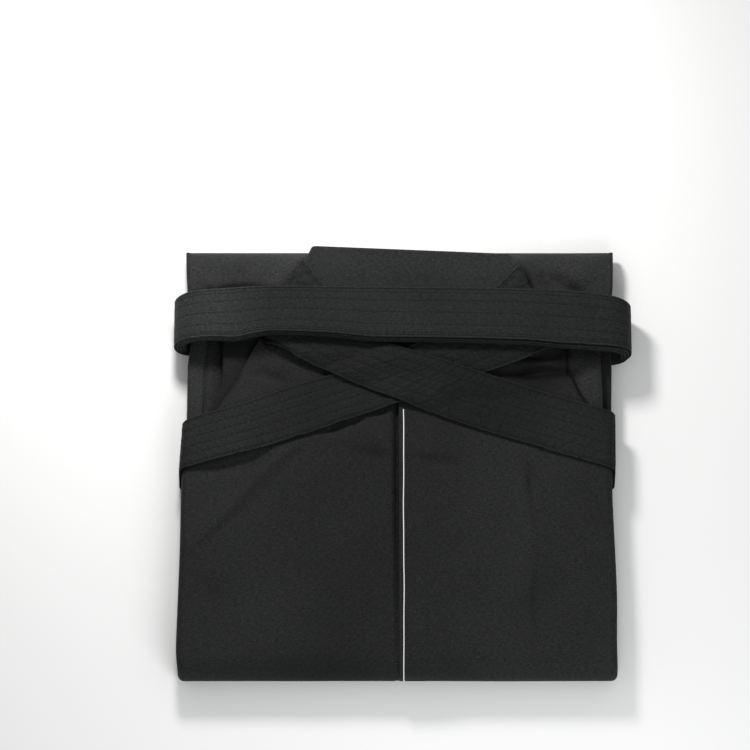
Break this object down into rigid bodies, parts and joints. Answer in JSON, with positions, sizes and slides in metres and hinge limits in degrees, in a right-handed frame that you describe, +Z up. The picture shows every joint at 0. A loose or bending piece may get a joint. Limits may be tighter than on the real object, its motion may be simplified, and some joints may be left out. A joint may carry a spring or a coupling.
{
  "type": "folded hakama trousers",
  "caption": "Black pleated wide-leg hakama trousers, pressed and folded in three with the back up, the back straps crossed and the front strap wound round as a band.",
  "frame": {"origin": "on the surface that the folded garment lies on, under the middle of its bounding box", "axes": "+Z up from the surface, +Y from the near roll towards the stiff board of the back waist, +X towards the wearer's right"},
  "size_m": [0.3658, 0.3624, 0.0459],
  "materials": {
    "body_cloth": "matte black plain-woven cotton, pressed",
    "strap_cloth": "matte black cotton, quilted with lengthwise rows of stitching"
  },
  "bodies": {
    "root": {"legs_folded": "body_cloth", "front_panel_left": "body_cloth", "front_panel_right": "body_cloth", "back_panel_left": "body_cloth", "back_panel_right": "body_cloth", "back_board": "strap_cloth", "back_strap_left": "strap_cloth", "back_strap_right": "strap_cloth", "front_strap_turn_1": "strap_cloth", "front_strap_turn_2": "strap_cloth", "front_strap_turn_3": "strap_cloth", "front_strap_turn_4": "strap_cloth"}
  },
  "joints": []
}
